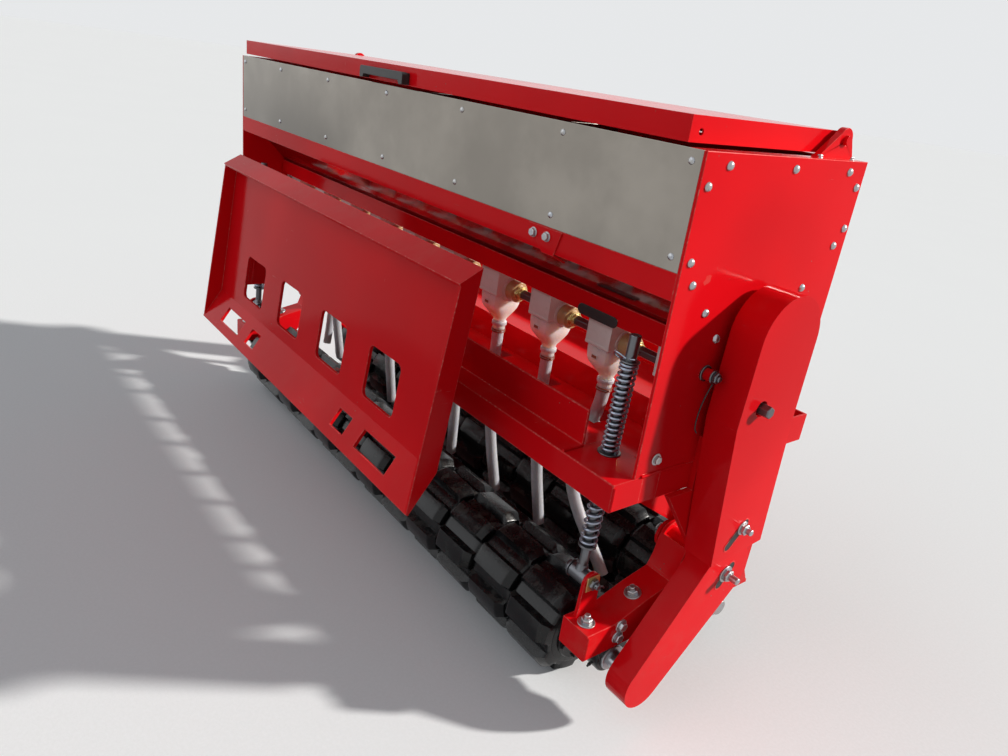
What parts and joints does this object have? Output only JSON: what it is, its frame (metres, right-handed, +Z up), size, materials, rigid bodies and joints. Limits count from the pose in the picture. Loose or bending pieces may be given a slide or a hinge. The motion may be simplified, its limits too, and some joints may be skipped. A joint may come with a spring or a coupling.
{
  "type": "seed drill",
  "caption": "Loader-mounted seed drill: V hopper with hinged lid, seed meters on a roller-driven shaft, hanging seed tubes and spring-loaded notched packer rollers.",
  "frame": {"origin": "on the ground, under the middle of the drill's box", "axes": "+X along the machine towards the chain cases, +Y from the coupler plate to the rear tray, +Z up"},
  "size_m": [1.896, 0.732, 1.089],
  "materials": {
    "red_paint": "glossy red enamel, scuffed",
    "stainless": "bright rolled stainless",
    "zinc_steel": "zinc plated",
    "black_iron": "glossy black paint on cast iron",
    "white_plastic": "white moulded plastic",
    "clear_plastic": "milky see-through plastic",
    "black_plastic": "black plastic grip"
  },
  "bodies": {
    "frame": {"coupler_plate": "red_paint", "coupler_gussets": "red_paint", "front_sill": "red_paint", "side_members": "red_paint", "rear_tray": "red_paint", "side_plates": "red_paint", "front_panel": "stainless", "front_band": "red_paint", "band_bracket": "red_paint", "hopper_floor": "stainless", "back_panel": "red_paint", "hopper_dividers": "stainless", "hinge_ears": "red_paint", "meter_rail": "red_paint", "meter_housings": "white_plastic", "meter_funnels": "clear_plastic", "shaft_plates": "white_plastic", "seed_tube_1": "clear_plastic", "seed_tube_2": "clear_plastic", "seed_tube_3": "clear_plastic", "seed_tube_4": "clear_plastic", "seed_tube_5": "clear_plastic", "seed_tube_6": "clear_plastic", "seed_tube_7": "clear_plastic", "seed_tube_8": "clear_plastic", "seed_tube_9": "clear_plastic", "seed_tube_10": "clear_plastic", "upper_chain_case": "red_paint", "lower_chain_case": "red_paint", "pivot_hangers": "red_paint", "pivot_shafts": "zinc_steel", "front_arms": "red_paint", "spring_rods": "zinc_steel", "upper_springs": "zinc_steel", "lower_springs": "zinc_steel", "front_bearings": "black_iron", "rear_brackets": "red_paint", "rear_bearings": "black_iron"},
    "lid": {"lid": "red_paint", "lid_handle": "black_plastic"},
    "front_roller": {"front_roller": "black_iron"},
    "rear_roller": {"rear_roller": "black_iron"},
    "meter_shaft": {"meter_shaft": "zinc_steel"},
    "agitator": {"agitator": "zinc_steel"}
  },
  "joints": [
    {"name": "lid_hinge", "type": "hinge", "parent": "frame", "child": "lid", "pos_m": [-0.032, 0.236, 1.069], "axis": [-1, 0, 0], "range_deg": [0, 100]},
    {"name": "front_roller_spin", "type": "hinge", "parent": "frame", "child": "front_roller", "pos_m": [-0.032, -0.062, 0.106], "axis": [1, 0, 0], "continuous": true},
    {"name": "rear_roller_spin", "type": "hinge", "parent": "frame", "child": "rear_roller", "pos_m": [-0.032, 0.254, 0.106], "axis": [1, 0, 0], "continuous": true},
    {"name": "meter_shaft_spin", "type": "hinge", "parent": "frame", "child": "meter_shaft", "pos_m": [-0.032, 0.046, 0.652], "axis": [1, 0, 0], "continuous": true},
    {"name": "agitator_spin", "type": "hinge", "parent": "frame", "child": "agitator", "pos_m": [-0.032, 0.076, 0.763], "axis": [1, 0, 0], "continuous": true}
  ],
  "couplings": [
    {"joint": "meter_shaft_spin", "follows": "front_roller_spin", "ratio": 0.5},
    {"joint": "agitator_spin", "follows": "front_roller_spin", "ratio": 0.5}
  ]
}
